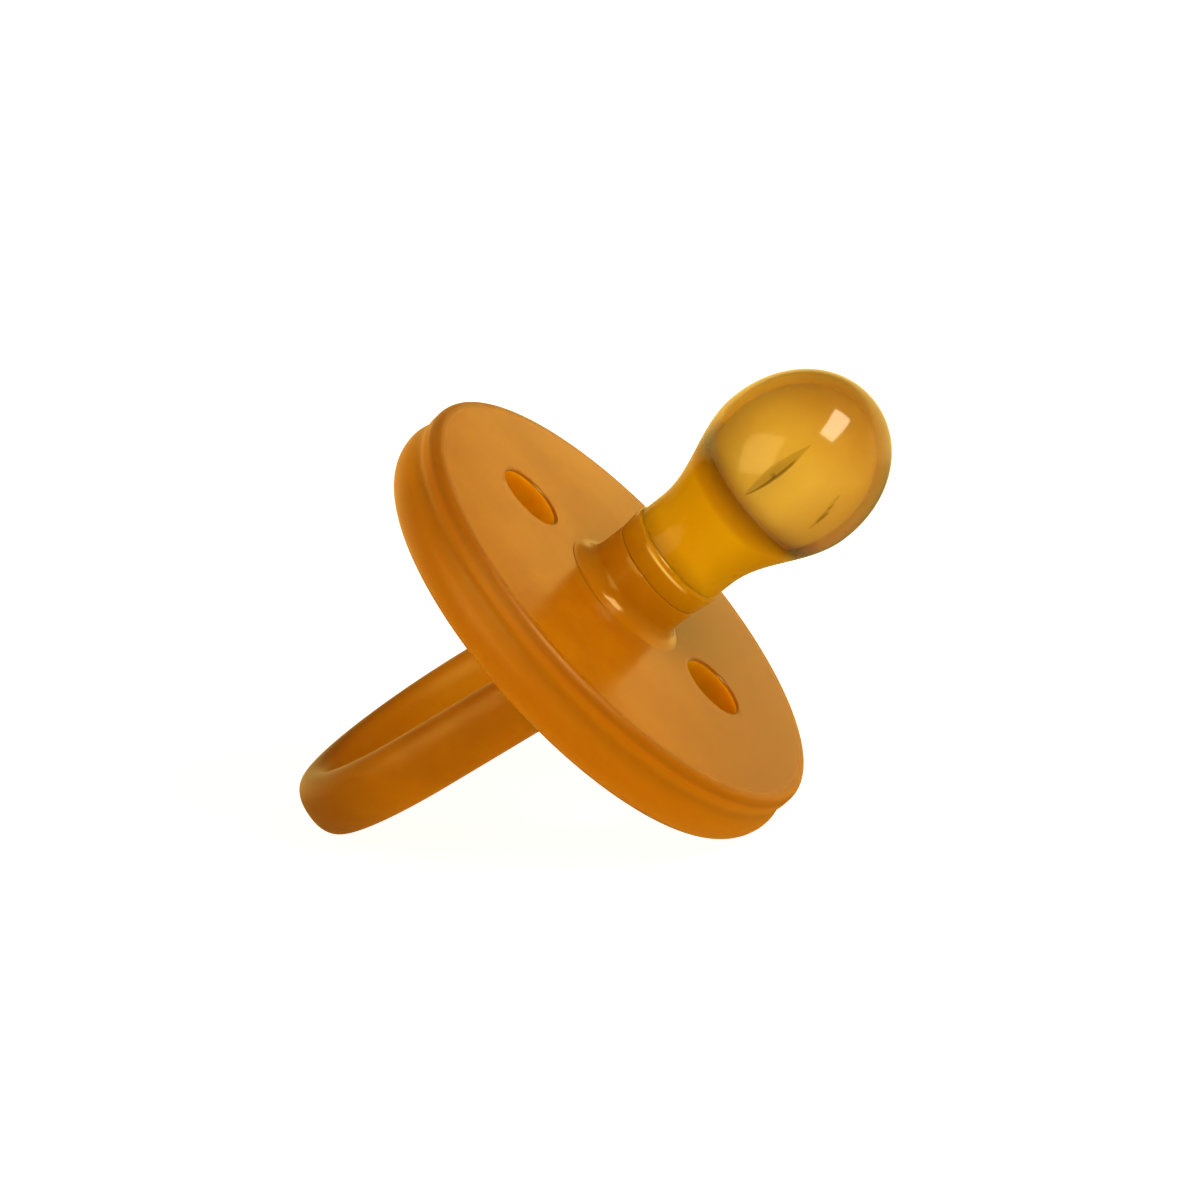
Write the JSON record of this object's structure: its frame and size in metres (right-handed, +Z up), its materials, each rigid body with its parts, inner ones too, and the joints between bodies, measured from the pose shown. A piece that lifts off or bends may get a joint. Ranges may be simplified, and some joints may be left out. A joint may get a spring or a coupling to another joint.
{
  "type": "pacifier",
  "caption": "Natural-rubber pacifier: hollow cherry teat on a flexible neck, thick round vented shield with a grooved rim, and a band bent into a loop handle.",
  "frame": {"origin": "on the table, under the middle of the bounding box; the pacifier lies on its shield's lower rim and its handle's far end", "axes": "+X is the level direction that the teat points to, +Y runs across the shield through the handle's two feet, +Z is up; the shield's own axis leans 41.1 degrees up from +X in the XZ plane"},
  "size_m": [0.051, 0.0432, 0.0385],
  "materials": {
    "teat_rubber": "glossy, clear amber latex",
    "collar_rubber": "satin, deep amber",
    "shield_rubber": "glossy, clouded amber",
    "handle_rubber": "satin, deep amber"
  },
  "bodies": {
    "shield": {"shield_front": "shield_rubber", "shield_back": "shield_rubber", "teat_plug": "collar_rubber", "handle_foot_left": "handle_rubber", "handle_foot_right": "handle_rubber"},
    "neck": {"neck_collar": "collar_rubber"},
    "teat": {"teat": "teat_rubber", "neck_band": "teat_rubber"},
    "handle": {"handle_ring": "handle_rubber"}
  },
  "joints": [
    {"name": "teat_nod", "type": "hinge", "parent": "shield", "child": "neck", "pos_m": [0.00381, 0, 0.02041], "axis": [0, 1, 0], "range_deg": [-30, 30], "stiffness_Nm_per_rad": 0.02, "deforming": ["neck_collar"]},
    {"name": "teat_sway", "type": "hinge", "parent": "neck", "child": "teat", "pos_m": [0.00739, 0, 0.02314], "axis": [0.6062, 0, -0.7953], "range_deg": [-30, 30], "stiffness_Nm_per_rad": 0.02, "deforming": ["neck_collar"]},
    {"name": "handle_fold", "type": "hinge", "parent": "shield", "child": "handle", "pos_m": [-0.00267, 0, 0.01475], "axis": [0, 1, 0], "range_deg": [-60, 39], "stiffness_Nm_per_rad": 0.02, "deforming": ["handle_foot_left", "handle_foot_right"]}
  ]
}
